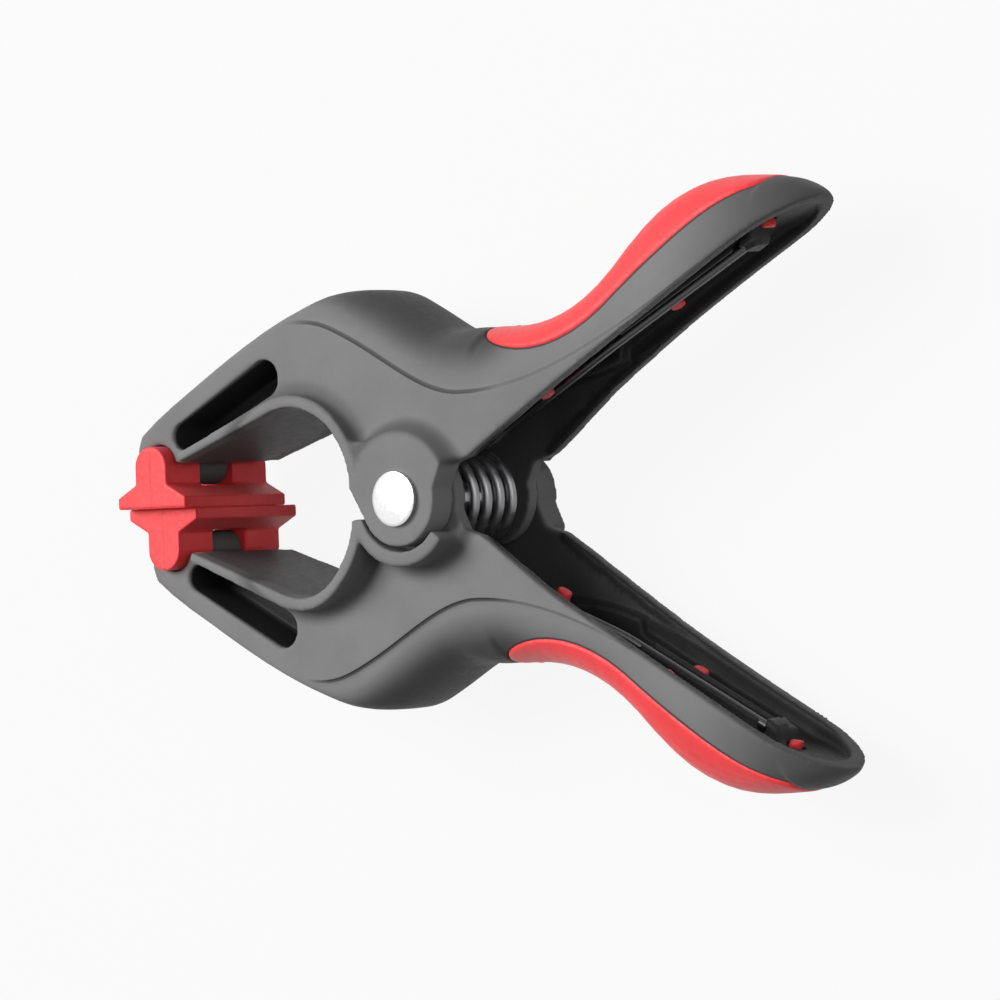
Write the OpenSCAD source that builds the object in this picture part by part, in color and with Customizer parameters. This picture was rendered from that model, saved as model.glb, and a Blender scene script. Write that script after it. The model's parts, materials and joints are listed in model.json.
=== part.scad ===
// Spring clamp: two glass-filled nylon arms turned about one steel pin, a torsion spring in the
// handle channels, soft grips over the handle backs and swivelling jaw pads.
//
// The clamp lies on its side. +X runs from the jaws to the handles, +Y from the lower arm to the
// upper arm, and +Z along the pivot pin towards its domed head. Everything is modelled round the
// pivot, then moved so that the origin is at the middle of the bounding box's underside.
// The two arms are one moulding, used twice: the lower arm is the upper one turned half a turn
// about the X axis. Each arm is shifted sideways by half a wall, so the walls nest past each other.

/* [Pivot] */
// Diameter of the pivot pin's shaft
pin_d = 6; // [5:0.5:7]
// Diameter of the pin's domed head
pin_head_d = 10; // [9:0.5:12]
// Height of the domed head over the ear
pin_head_h = 1.6; // [1:0.1:2.5]
// Outside diameter of the push-on retaining cap
cap_d = 10; // [9:0.5:12]
// Thickness of the retaining cap
cap_h = 1.6; // [1.2:0.1:2.5]
// Running clearance on the radius of the pin in the ears
pin_clear = 0.05; // [0.02:0.01:0.1]
// Gap between an outer ear and the inner ear beside it
ear_gap = 0.2; // [0.1:0.05:0.4]
// Radius of the outer ear's boss below the pin
ear_r = 8.8; // [8:0.1:9.5]
// Radius of the outer ear's boss above the pin
ear_crown_r = 12.3; // [11.5:0.1:13]
// Height of the boss over the arm's side
boss_rise = 3.1; // [2:0.1:4]
// Radius of the inner ear
inner_ear_r = 9.2; // [8.8:0.1:9.4]
// Radius that each arm keeps free for the other arm's inner ear
hub_clear_r = 10.5; // [10.4:0.1:11.2]
// Inner radius of the cup lip round the other arm's boss
lip_r = 9.7; // [9.4:0.1:10]
// Thickness of the cup lip
lip_t = 2.8; // [2:0.1:3.2]
// Height at which the lip's jaw end stops, below the pin
lip_drop = 3.5; // [3:0.1:5]
// Angle below the pin at which the lip's handle end stops
lip_end_angle = 38; // [36:1:50]

/* [Arms] */
// Pivot to the tip of the handle
handle_reach = 86.5; // [84:0.5:94]
// Pivot to the tip of the jaw
jaw_reach = 70; // [69:0.5:74]
// Angle of the handle's rim to the clamp's axis
handle_angle = 30.1; // [27:0.5:33]
// Distance in front of the pivot at which the rim's line crosses the axis
rim_start = 2.3; // [1.5:0.1:3]
// Half the arm's width at the pivot
web_half = 13.3; // [12.8:0.1:14.5]
// Half the arm's width at the jaw
jaw_half = 11.7; // [11:0.1:12.5]
// Half the arm's width over the handle
handle_half = 11.3; // [10.8:0.1:12.5]
// Height of the gentle arch of the handle's rim over its straight line
rim_bow = 1.2; // [0:0.1:2]
// How much deeper the rim is cut on the inner ear's side than on the outer ear's side
rim_tilt = 1.6; // [0.6:0.1:2]
// Thickness of the side walls
wall = 2.8; // [2.2:0.1:3.2]
// Thickness of the back over the spring
back_wall = 3.4; // [2.5:0.1:4.5]
// Height of the knuckle over the pivot
knuckle_h = 39.4; // [38:0.2:43]
// Depth of the handle at the saddle, from its rim up
saddle_depth = 27; // [25.6:0.2:30]
// Depth of the handle at its waist, from its rim up
waist_depth = 14.4; // [13.6:0.2:17]
// Depth of the handle at its crest, from its rim up
crest_depth = 12.6; // [11:0.2:14]
// Depth of the spring leg's channel below the rim, at the end of the leg
channel_depth = 4.4; // [4.2:0.1:5]
// Extra depth of the channel at the bend of the leg
channel_fall = 1.6; // [0:0.2:2]
// Length of the stop block behind the spring's leg
stop_len = 3; // [2.4:0.2:4]
// Width of the stop block
stop_w = 6.5; // [5:0.5:10]
// Depth of the stop block's top under the rim
stop_drop = 2.2; // [1:0.1:2.6]
// Length of the handle's rounded nose
nose_len = 14; // [10:0.5:18]

/* [Throat and jaw] */
// Radius of the throat
throat_r = 15.7; // [14.5:0.1:16.2]
// Distance of the throat's centre in front of the pivot
throat_x = 27.2; // [26.8:0.1:30]
// Height of the throat's centre
throat_y = 2.1; // [1:0.1:3]
// Thickness of the wall round the throat
throat_wall = 3; // [2.2:0.1:3.4]
// Width of the raised rim round the throat
rim_w = 2.4; // [1.5:0.1:3.5]
// Height of the throat's raised rim over the jaw's side
rim_rise = 2.2; // [1:0.1:3]
// Radius of the jaw pocket at the tip end
pocket_tip_r = 2.6; // [1.5:0.1:2.8]
// Radius of the jaw pocket at the root end
pocket_root_r = 3.6; // [2:0.1:4]
// Distance of the pocket's tip end from the pivot
pocket_tip_x = 57.8; // [55:0.2:58.4]
// Height of the pocket's tip end
pocket_tip_y = 13.6; // [13.2:0.1:14.4]
// Distance of the pocket's root end from the pivot
pocket_root_x = 35.8; // [33:0.2:40]
// Height of the pocket's root end
pocket_root_y = 23.6; // [23.2:0.1:24.6]
// Depth of the pocket in each side of the jaw
pocket_depth = 10; // [6:0.5:10.5]

/* [Jaw pads] */
// Length of a pad's gripping face
pad_len = 17.8; // [16:0.2:20]
// Width of a pad
pad_w = 28.4; // [27.6:0.2:34]
// Height of a pad's ends over its gripping face
pad_edge = 2.1; // [1.5:0.1:3]
// Height of a pad at its neck
pad_h = 4.6; // [4.4:0.1:5.4]
// Height of the hinge over the gripping face
hinge_h = 7.8; // [7.6:0.1:9]
// Distance of the hinge behind the tip of the jaw
hinge_back = 5.6; // [5.2:0.1:6.4]
// Length of the jaw's heel behind the knuckles
jaw_heel = 3.3; // [2:0.1:4.5]
// Radius of a pad's knuckles
knuckle_r = 4.1; // [3.6:0.1:4.4]
// Clearance between the knuckles and the arm's socket
socket_gap = 0.3; // [0.2:0.05:0.6]
// Width of the arm's tongue between the knuckles
tongue_w = 8.6; // [6:0.2:10]
// Radius of the tongue's rounded end
tongue_r = 3.4; // [3:0.1:3.4]
// Clearance beside the tongue and inside the cheeks
cheek_gap = 0.3; // [0.2:0.05:0.6]
// Diameter of the pad's hinge pin
pad_pin_d = 2.5; // [2:0.1:3]
// Depth of the hinge pin's hole in each knuckle
pad_pin_bite = 6.5; // [4:0.5:8]
// Gap between the two closed pads
pad_gap = 0.1; // [0.05:0.05:0.4]

/* [Grips] */
// Start of the grip behind the pivot
grip_start = 13.5; // [10:0.5:15]
// Bare end of the handle past the grip
grip_bare = 8.7; // [7.5:0.1:12]
// Distance of the grip's edge inside the arm's sides
grip_inset = 1; // [0.8:0.1:3]
// Thickness of the grip at its ends
grip_edge = 0.6; // [0.5:0.1:2]
// Extra thickness of the grip at its swell
grip_swell = 2.8; // [2:0.2:5]
// Gap between the grip and the handle's back
grip_gap = 0.25; // [0.2:0.01:0.3]
// Diameter of the plugs that lock the grip in the handle
plug_d = 3; // [2:0.2:3.4]
// Height of the plugs over the channel's floor
plug_proud = 1.2; // [0.6:0.1:1.6]
// Clearance on the radius of a plug
plug_clear = 0.05; // [0.02:0.01:0.1]
// Sideways distance of the paired plugs from the middle
plug_z = 5; // [4:0.2:6]
// Depth under the rim at which the plug in the root hollow ends
root_plug_depth = 4.8; // [4.4:0.2:7]

/* [Spring] */
// Diameter of the spring's wire
wire_d = 1.9; // [1.6:0.1:2.1]
// Radius of the coil at the middle of the wire
coil_r = 8.15; // [7.6:0.05:8.3]
// Rise of the coil over one turn
coil_pitch = 3.55; // [3:0.05:3.6]
// Whole turns of the coil, over and above the part turn between the legs
coil_turns = 4; // [3:1:4]
// Pivot to the point where each leg bends on to its channel
leg_bend = 38; // [34:0.5:42]
// Distance of each leg's end from the handle's tip
leg_back = 17.7; // [16.5:0.1:20.5]
// Gap between a leg and the channel's floor
leg_gap = 0.1; // [0.05:0.05:0.3]

/* [Hidden] */
$fn = 64;

nylon = [0.36, 0.36, 0.37];
soft_red = [0.88, 0.16, 0.18];
steel = [0.80, 0.81, 0.83];
spring_steel = [0.62, 0.63, 0.65];

big = 200;                                  // longer than anything that is cut
bond = 0.4;                                 // overlap that joins shapes of one moulding
arm_shift = (wall + ear_gap) / 2;           // each arm's middle, off the clamp's middle
inner_half = web_half - wall;               // inner face of the side walls at the pivot
boss_half = web_half + boss_rise;           // outer face of the boss, from the arm's middle
ear_face = boss_half + arm_shift;           // outer face of the boss, from the clamp's middle
lip_half = ear_face + arm_shift - bond;     // outer face of the lip, from the arm's middle
half_depth = ear_face + max(pin_head_h, cap_h);
hinge_x = jaw_reach - hinge_back;           // distance of the hinge from the pivot
front_x = -hinge_x - pad_len / 2;
middle_x = (handle_reach + front_x) / 2;

rim_slope = tan(handle_angle);
leg_reach = handle_reach - leg_back;        // pivot to the end of each leg
leg_lift = (leg_gap + wire_d / 2) / cos(handle_angle);  // channel's floor to the leg's middle
crest_x = handle_reach - 14.5;               // where the back is highest
waist_x = handle_reach - 41;                // where the back climbs from saddle to crest
saddle_x = 8;                               // where the back is lowest
flank_angle = 29.5;                         // where the ear's crown turns into its flank
waist_angle = -155;                         // where the ear's lower round ends, at the throat

throat = [-throat_x, throat_y];
hinge = [-hinge_x, pad_gap / 2 + hinge_h];
jaw_corner = hinge + [knuckle_r + jaw_heel, 0.8];
toe = hinge + [-knuckle_r, -1.8];           // lower end of the jaw's toe, before the knuckles
socket_r = knuckle_r + socket_gap;
corner_way = throat - jaw_corner;
tangent_angle = atan2(corner_way[1], corner_way[0]) + asin(throat_r / norm(corner_way)) + 90;
tangent_way = [cos(tangent_angle), sin(tangent_angle)];

// ---- curves -------------------------------------------------------------------------------

// Cubic through knots [x, y, slope], read at x.
function piece(k, x, i = 0) = i >= len(k) - 2 || x < k[i + 1][0] ? i : piece(k, x, i + 1);
function cubic(a, b, x) =
    let (h = b[0] - a[0], t = (x - a[0]) / h)
    (2 * t * t * t - 3 * t * t + 1) * a[1] + (t * t * t - 2 * t * t + t) * h * a[2]
    + (3 * t * t - 2 * t * t * t) * b[1] + (t * t * t - t * t) * h * b[2];
function curve(k, x) = let (i = piece(k, x)) cubic(k[i], k[i + 1], x);

function arc(c, r, a0, a1, n) =
    [for (i = [0 : n]) let (a = a0 + (a1 - a0) * i / n) c + r * [cos(a), sin(a)]];
function steps(a, b, n) = [for (i = [0 : n]) a + (b - a) * i / n];
function signed_pow(a, e) = sign(a) * pow(abs(a), e);
function unit(v) = v / norm(v);

// ---- the arm's surfaces, in the upper arm's own frame ---------------------------------------

// Inner edge of the handle: a straight line.
function rim(x) = rim_slope * (x - rim_start);
// Edge of the handle's side walls, which arch a little over that line.
function rim_edge(x) =
    let (t = (x - ear_crown_r) / (handle_reach - ear_crown_r)) rim(x) + rim_bow * 4 * t * (1 - t);
// Depth of the channel's floor under the rim: it falls from the end of the leg to its bend.
function floor_depth(x) = channel_depth + channel_fall * (leg_reach - x) / (leg_reach - leg_bend);
function channel_floor(x) = rim(x) + floor_depth(x) / cos(handle_angle);
// Middle line of the spring's leg.
function leg_line(x) = channel_floor(x) - leg_lift;

// Height of the back in the arm's middle plane.
back_knots = [[-jaw_reach, 13.5, 0.7], [-jaw_reach + 9, 19.5, 0.52], [-34, knuckle_h - 6.2, 0.4],
              [-15.3, knuckle_h, 0], [saddle_x, rim(saddle_x) + saddle_depth, 0],
              [waist_x, rim(waist_x) + waist_depth, 1.1],
              [crest_x, rim(crest_x) + crest_depth, 0],
              [handle_reach, rim(handle_reach) + 1.4, -0.5]];
// Height at which the flat side turns into the rounded back.
crease_knots = [[-jaw_reach, 12.7, 0.7], [-jaw_reach + 9, 18.7, 0.52], [-34, knuckle_h - 7.2, 0.4],
                [-22.7, knuckle_h - 6, -0.15], [-11.3, knuckle_h - 10.3, -0.5],
                [12.8, rim(12.8) + 12.8, -0.02], [35, rim(35) + 4.1, 0.38],
                [handle_reach - 21, rim(handle_reach - 21) + 1.2, 0.56],
                [handle_reach, rim(handle_reach) - 1, 0.5]];
// Half the arm's width, seen from above, up to the nose.
width_knots = [[-jaw_reach, jaw_half, 0], [-throat_x, (jaw_half + web_half) / 2, 0.03],
               [-15, web_half, 0], [12, web_half, 0], [52, handle_half, 0],
               [handle_reach - nose_len, handle_half, 0]];
// The back is nearly flat over the jaw and round over the knuckle and the handle.
round_knots = [[-jaw_reach, 9, 0], [-36, 9, 0], [-8, 2.3, 0], [handle_reach, 2.3, 0]];

function back(x) = curve(back_knots, x);
function crease(x) = min(curve(crease_knots, x), back(x) - 0.7);
function into_nose(x) = max(0, (x - handle_reach + nose_len) / nose_len);
function half_width(x) = curve(width_knots, min(x, handle_reach - nose_len))
    * sqrt(max(0.04, 1 - pow(into_nose(x), 2)));
function back_at(x, z) =
    let (p = curve(round_knots, x), q = min(1, abs(z) / half_width(x)))
    crease(x) + (back(x) - crease(x)) * pow(1 - pow(q, p), 1 / p);

// One ring of the arm's skin: two low corners and an arch from side to side.
function arm_ring(x, arch_steps = 16) =
    let (w = half_width(x), c = crease(x), h = back(x) - c, e = 2 / curve(round_knots, x))
    concat([[x, -30, -w]],
           [for (a = steps(180, 0, arch_steps))
               [x, c + h * pow(max(0, sin(a)), e), w * signed_pow(cos(a), e)]],
           [[x, -30, w]]);

// Stations along the arm, closer together towards the nose.
arm_stations = concat(steps(-jaw_reach, -36, 7), steps(-32, handle_reach - nose_len, 36),
                      [for (a = [7.5 : 7.5 : 82.5]) handle_reach - nose_len * (1 - sin(a))],
                      [handle_reach]);

// Closed skin over rings of equal length.
module loft(rings) {
    n = len(rings[0]);
    m = len(rings);
    polyhedron(
        points = [for (r = rings) each r],
        faces = concat(
            [[for (j = [0 : n - 1]) j]],
            [for (i = [0 : m - 2], j = [0 : n - 1])
                [i * n + j, (i + 1) * n + j, (i + 1) * n + (j + 1) % n]],
            [for (i = [0 : m - 2], j = [0 : n - 1])
                [i * n + j, (i + 1) * n + (j + 1) % n, i * n + (j + 1) % n]],
            [[for (j = [n - 1 : -1 : 0]) (m - 1) * n + j]]));
}

// A flat shape of the side view, from z0 to z1.
module side(z0, z1) {
    translate([0, 0, z0]) linear_extrude(z1 - z0) children();
}

// A flat shape of the top view, through the whole height.
module plan() {
    rotate([90, 0, 0]) linear_extrude(big, center = true) children();
}

// The same shape on both sides of the middle plane.
module both_sides() {
    children();
    mirror([0, 0, 1]) children();
}

// ---- pieces of the arm's moulding -----------------------------------------------------------

// Side wall with the ear; its upper side is left to the skin.
module wall_outline() {
    tip = [handle_reach, rim(handle_reach)];
    jaw_front = [[-jaw_reach, toe[1]], [-jaw_reach, toe[1] + 5.6], [-jaw_reach + 0.9, toe[1] + 7.9],
                 [-jaw_reach + 2.8, toe[1] + 10], [-jaw_reach + 5.5, big]];
    rounded_lip = [[tip[0] - 1.5, big], [tip[0] - 1.4, back(tip[0] - 1.4)], tip + [-0.4, 1.7],
                   tip + [0, 0.9], tip + [-0.2, 0.2]];
    polygon(concat(
        jaw_front,
        rounded_lip,
        [for (x = steps(handle_reach - 1, 14.5, 12)) [x, rim_edge(x)]],
        [ear_crown_r * [cos(flank_angle), sin(flank_angle)]],
        arc([0, 0], ear_r, 10, waist_angle, 24),
        [throat + [throat_r, 0]],
        arc(throat, throat_r, 8, tangent_angle, 20),
        [jaw_corner, [toe[0], jaw_corner[1]], toe]));
}

// Top view of the space between the side walls.
module between_walls() {
    nose_x = handle_reach - nose_len;
    inner = handle_half - wall;
    polygon(concat(
        [for (x = steps(-26, nose_x, 10)) [x, half_width(x) - wall]],
        [for (a = steps(80, -80, 16)) [nose_x + (nose_len - wall) * cos(a), inner * sin(a)]],
        [for (x = steps(nose_x, -26, 10)) [x, wall - half_width(x)]]));
}

// Hollow over the coil, up to a share of the back's rounded height.
module root_hollow(share, reach_z) {
    end_x = leg_bend + 1;
    difference() {
        intersection() {
            side(-reach_z, reach_z) polygon(concat(
                [[end_x, rim(end_x) - 5], [-9, -20], [-24, -20]],
                [for (x = steps(-24, leg_bend - 2, 16))
                    [x, crease(x) + (back(x) - crease(x)) * share - back_wall]],
                [[end_x, channel_floor(end_x)]]));
            plan() between_walls();
        }
        side(-big, big) translate(throat) circle(r = throat_r + throat_wall);
    }
}

// Channel of the spring's leg, whose floor climbs to the rim behind the stop block.
module leg_channel() {
    start_x = leg_bend - 3;
    stop_x = leg_reach + stop_len;
    end_x = handle_reach - 3;
    intersection() {
        side(-big, big) polygon([
            [start_x, rim(start_x) - 6], [start_x, channel_floor(start_x)],
            [stop_x, channel_floor(stop_x)], [end_x, rim(end_x) + 1.6],
            [end_x, rim(end_x) - 6]]);
        plan() between_walls();
    }
}

// What is cut off the rim where it is tilted, from nothing behind the ear to the full tilt.
module tilt_cut() {
    start_x = ear_crown_r + 4;
    ramp = 14;
    loft([for (x = steps(start_x, handle_reach + 1, 12))
        let (deep = rim_tilt * min(1, (x - start_x) / ramp), y = rim_edge(x))
        [[x, y - 10, -web_half], [x, y + deep, -web_half], [x, y - 0.02, web_half],
         [x, y - 10, web_half]]]);
}

module stop_block() {
    x0 = leg_reach + 0.4;
    x1 = x0 + stop_len;
    side(-stop_w / 2, stop_w / 2)
        polygon([[x0, rim(x0) + stop_drop], [x1, rim(x1) + stop_drop],
                 [x1, channel_floor(x1) + bond], [x0, channel_floor(x0) + bond]]);
}

module jaw_pocket() {
    side(jaw_half - pocket_depth, big) hull() {
        translate([-pocket_tip_x, pocket_tip_y]) circle(r = pocket_tip_r, $fn = 32);
        translate([-pocket_root_x, pocket_root_y]) circle(r = pocket_root_r, $fn = 32);
    }
}

// Raised rim round the throat, lower at the jaw than at the pivot.
module throat_rim() {
    low = jaw_half + rim_rise;
    intersection() {
        side(-lip_half, boss_half) polygon(concat(
            arc(throat, throat_r, 8, tangent_angle, 20),
            [jaw_corner, jaw_corner + 0.7 * rim_w * tangent_way],
            arc(throat, throat_r + rim_w, tangent_angle, 8, 20)));
        plan() polygon([[-hinge_x, low], [-throat_x, (low + boss_half) / 2 + 0.6],
                        [-15, boss_half], [5, boss_half], [5, -lip_half], [-15, -lip_half],
                        [-throat_x, -(low + lip_half) / 2], [-hinge_x, -low]]);
    }
}

// Boss of the outer ear: round below the pin, a wider crown above, with a sloped foot.
module ear_boss() {
    flank = [cos(flank_angle), sin(flank_angle)];
    side(inner_half, boss_half) polygon(concat(
        arc([0, 0], ear_r, 10, waist_angle, 24), [throat + [throat_r, 0]],
        arc(throat, throat_r, 8, 34, 4), arc([0, 0], ear_crown_r, 118, flank_angle, 16)));
    intersection() {
        translate([0, 0, web_half - bond])
            cylinder(h = boss_rise + bond, r1 = ear_crown_r + 2.6, r2 = ear_crown_r);
        side(0, big) polygon([[0, 0], throat + [throat_r + 1, 9], [-20, 20], [20, 20],
                              1.4 * ear_crown_r * flank]);
    }
}

// Inner ear and, standing on it, the cup lip round the other arm's boss.
module inner_ear_and_lip() {
    side(-web_half, -inner_half) circle(r = inner_ear_r);
    side(-lip_half, bond - web_half) difference() {
        circle(r = lip_r + lip_t);
        circle(r = lip_r);
        translate([-big / 2, lip_drop - big]) square(big);
        polygon([[0, 0], big * [cos(lip_end_angle), sin(lip_end_angle)], [big, 0]]);
        translate(throat) circle(r = throat_r);
    }
}

module tongue_outline() {
    translate(hinge) circle(r = tongue_r);
    translate(hinge + [-tongue_r, 0]) square([2 * tongue_r, knuckle_r + 1]);
}

module socket_outline() {
    translate(hinge) circle(r = socket_r);
    translate(hinge + [-socket_r, -big]) square([2 * socket_r, big]);
}

// Plugs of the grip: [x at the rim, z, distance from the rim at which the plug starts].
pair_x = 52;
end_plug_x = leg_reach + stop_len + 3.9;
plug_spots = [[25.6, 0, root_plug_depth], [pair_x, plug_z, floor_depth(pair_x) - plug_proud],
              [pair_x, -plug_z, floor_depth(pair_x) - plug_proud],
              [end_plug_x, 0, channel_depth - plug_proud]];

// Point of a plug's axis at a distance from the rim, and the distance at which it meets the grip.
function plug_point(s, l) = [s[0] - l * sin(handle_angle), rim(s[0]) + l * cos(handle_angle)];
function plug_end(s, l) =
    let (p = plug_point(s, l))
    p[1] > back_at(p[0], s[1]) + grip_gap + 0.1 ? l : plug_end(s, l + 0.1);

module plug(s, r, from, to) {
    translate([s[0], rim(s[0]), s[1]]) rotate([0, 0, handle_angle]) translate([0, from, 0])
        rotate([-90, 0, 0]) cylinder(h = to - from, r = r, $fn = 32);
}

module arm_moulding() {
    difference() {
        union() {
            difference() {
                intersection() {
                    loft([for (x = arm_stations) arm_ring(x)]);
                    side(-big, big) wall_outline();
                }
                root_hollow(1, 7);
                root_hollow(0.45, big);
                leg_channel();
                tilt_cut();
                both_sides() jaw_pocket();
            }
            ear_boss();
            inner_ear_and_lip();
            throat_rim();
            stop_block();
            side(-tongue_w / 2, tongue_w / 2) tongue_outline();
        }
        side(-inner_half, inner_half) circle(r = hub_clear_r);
        both_sides() side(tongue_w / 2 + cheek_gap, big) socket_outline();
        cylinder(h = big, r = pin_d / 2 + pin_clear, center = true);
        translate([hinge[0], hinge[1], 0]) cylinder(h = tongue_w + 2, d = pad_pin_d, center = true);
        for (s = plug_spots) plug(s, plug_d / 2 + plug_clear, s[2] - 2, big / 4);
    }
}

// ---- grip -----------------------------------------------------------------------------------

grip_end = handle_reach - grip_bare;
grip_mid = (grip_start + grip_end) / 2;
grip_len = grip_end - grip_start;

// Half the grip's width: it keeps to the arm's width, with rounded ends.
function grip_width(x) =
    let (t = abs(x - grip_mid) / (grip_len / 2))
    max(0.8, (half_width(x) - grip_inset) * pow(max(0, 1 - pow(t, 2.5)), 0.25));
function grip_rise(x) = grip_edge + grip_swell * pow(sin(180 * (x - grip_start) / grip_len), 2);

function grip_ring(x, n = 14) =
    let (g = grip_width(x), h = grip_rise(x))
    concat([for (a = steps(90, -90, n)) let (z = g * sin(a)) [x, back_at(x, z) + grip_gap, z]],
           [for (a = steps(-90, 90, n)) let (z = g * sin(a))
               [x, back_at(x, z) + grip_gap + 0.3 + (h - 0.3) * cos(a), z]]);

module grip() {
    ends = [0.02, 0.35, 1, 2, 3.5];
    stations = concat([for (e = ends) grip_start + e * 1.5], steps(grip_start + 8, grip_end - 8, 15),
                      [for (i = [4 : -1 : 0]) grip_end - ends[i] * 1.5]);
    loft([for (x = stations) grip_ring(x)]);
    for (s = plug_spots) plug(s, plug_d / 2, s[2], plug_end(s, s[2]));
}

// ---- jaw pad --------------------------------------------------------------------------------

module pad_outline() {
    translate([hinge[0], pad_gap / 2]) {
        polygon([[-pad_len / 2, 0], [pad_len / 2, 0], [pad_len / 2, pad_edge],
                 [knuckle_r, pad_h], [knuckle_r, hinge_h], [-knuckle_r, hinge_h],
                 [-knuckle_r, pad_h], [-pad_len / 2, pad_edge]]);
        translate([0, hinge_h]) circle(r = knuckle_r);
    }
}

slot_half = tongue_w / 2 + cheek_gap;

module jaw_pad() {
    difference() {
        side(-pad_w / 2, pad_w / 2) pad_outline();
        side(-slot_half, slot_half) translate([hinge[0] - pad_len / 2, hinge[1] - tongue_r - 0.3])
            square([pad_len, big]);
        translate([hinge[0], hinge[1], 0])
            cylinder(h = 2 * (slot_half + pad_pin_bite), r = pad_pin_d / 2 + pin_clear, center = true);
        both_sides() side(jaw_half, jaw_half + cheek_gap) jaw_side_outline();
    }
}

// The jaw's side, which the pad's cheeks lie over.
module jaw_side_outline() {
    translate(hinge + [-jaw_reach, jaw_heel]) square(jaw_reach + 1);
}

module pad_pin() {
    translate([hinge[0], hinge[1], 0])
        cylinder(h = 2 * (slot_half + pad_pin_bite) - 0.4, d = pad_pin_d, center = true);
}

// ---- pin, cap and spring, in the clamp's middle ---------------------------------------------

module domed_disc(d, h, edge_h) {
    dome_r = (pow(d / 2, 2) + pow(h - edge_h, 2)) / (2 * (h - edge_h));
    intersection() {
        cylinder(h = h, d = d);
        translate([0, 0, h - dome_r]) sphere(r = dome_r, $fn = 128);
    }
}

pin_bite = cap_h - 0.5;                     // how far the shaft stands into the cap

module pin_body() {
    translate([0, 0, -ear_face - pin_bite]) cylinder(h = 2 * ear_face + pin_bite + bond, d = pin_d);
    translate([0, 0, ear_face]) domed_disc(pin_head_d, pin_head_h, pin_head_h * 0.55);
}

module cap_body() {
    mirror([0, 0, 1]) difference() {
        translate([0, 0, ear_face]) domed_disc(cap_d, cap_h, cap_h * 0.7);
        cylinder(h = ear_face + pin_bite, d = pin_d);
    }
}

bend_point = [leg_bend, leg_line(leg_bend)];
leg_end = [leg_reach, leg_line(leg_reach)];
leave_angle = atan2(bend_point[1], bend_point[0]) + acos(coil_r / norm(bend_point));
coil_sweep = 360 * coil_turns + 360 - 2 * leave_angle;
coil_half = coil_pitch * coil_sweep / 720;
rings_per_turn = 8;
coil_steps = ceil(coil_sweep * rings_per_turn / 360);

// Middle line of the wire: upper leg, coil from the cap's side to the head's side, lower leg.
coil_path = [for (i = [0 : coil_steps])
    let (a = leave_angle + coil_sweep * i / coil_steps)
    [coil_r * cos(a), coil_r * sin(a), coil_half * (2 * i / coil_steps - 1)]];
wire_path = concat(
    [[leg_end[0], leg_end[1], 0], [leg_bend + 1.5, leg_line(leg_bend + 1.5), 0]],
    [for (t = [0.98, 0.7, 0.4, 0.15]) let (s = coil_path[0])
        [s[0] + t * (bend_point[0] - s[0]), s[1] + t * (bend_point[1] - s[1]), s[2] * (1 - t)]],
    coil_path,
    [for (t = [0.15, 0.4, 0.7, 0.98]) let (s = coil_path[coil_steps])
        [s[0] + t * (bend_point[0] - s[0]), s[1] - t * (bend_point[1] + s[1]), s[2] * (1 - t)]],
    [[leg_bend + 1.5, -leg_line(leg_bend + 1.5), 0], [leg_end[0], -leg_end[1], 0]]);

function wire_ring(i) =
    let (last = len(wire_path) - 1,
         t = unit(wire_path[min(i + 1, last)] - wire_path[max(i - 1, 0)]),
         n = unit([0, 0, 1] - t[2] * t),
         b = cross(t, n))
    [for (a = [0 : 60 : 300]) wire_path[i] + wire_d / 2 * (cos(a) * n + sin(a) * b)];

// Least distance between the wire's surface and itself, over points more than half a turn apart.
wire_gap = min([for (i = [0 : len(wire_path) - 1], j = [i + 5 : 1 : len(wire_path) - 1])
    norm(wire_path[i] - wire_path[j]) - wire_d]);

module spring_body() {
    echo(least_gap_of_the_spring_to_itself = wire_gap);
    loft([for (i = [0 : len(wire_path) - 1]) wire_ring(i)]);
}

// ---- placing --------------------------------------------------------------------------------

module place() {
    translate([-middle_x, 0, half_depth]) children();
}

module as_upper() {
    place() translate([0, 0, arm_shift]) children();
}

module as_lower() {
    place() rotate([180, 0, 0]) translate([0, 0, arm_shift]) children();
}

module lower_arm() { color(nylon) as_lower() arm_moulding(); }
module upper_arm() { color(nylon) as_upper() arm_moulding(); }
module pivot_pin() { color(steel) place() pin_body(); }
module retaining_cap() { color(steel) place() cap_body(); }
module torsion_spring() { color(spring_steel) place() spring_body(); }
module lower_grip() { color(soft_red) as_lower() grip(); }
module upper_grip() { color(soft_red) as_upper() grip(); }
module lower_jaw_pad() { color(soft_red) as_lower() jaw_pad(); }
module upper_jaw_pad() { color(soft_red) as_upper() jaw_pad(); }
module lower_pad_pin() { color(steel) as_lower() pad_pin(); }
module upper_pad_pin() { color(steel) as_upper() pad_pin(); }

lower_arm();
upper_arm();
pivot_pin();
retaining_cap();
torsion_spring();
lower_grip();
upper_grip();
lower_jaw_pad();
upper_jaw_pad();
lower_pad_pin();
upper_pad_pin();
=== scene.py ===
"""Spring clamp: the finish and the fine shapes of its arms, grips, jaw pads, spring and pin.

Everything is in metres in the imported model's frame: +X from the jaws to the handles, +Y from the
lower arm to the upper arm and +Z along the pivot pin. Named sizes are in millimetres. The arms,
grips and pads are re-surfaced copies of their solids, so that edges come out rounded and the backs
come out smooth.
"""

import json
import logging
import math
from collections.abc import Callable, Iterator
from contextlib import contextmanager
from dataclasses import dataclass
from enum import Enum
from typing import ClassVar

import bpy
from mathutils import Matrix, Vector
from mathutils.bvhtree import BVHTree


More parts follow.
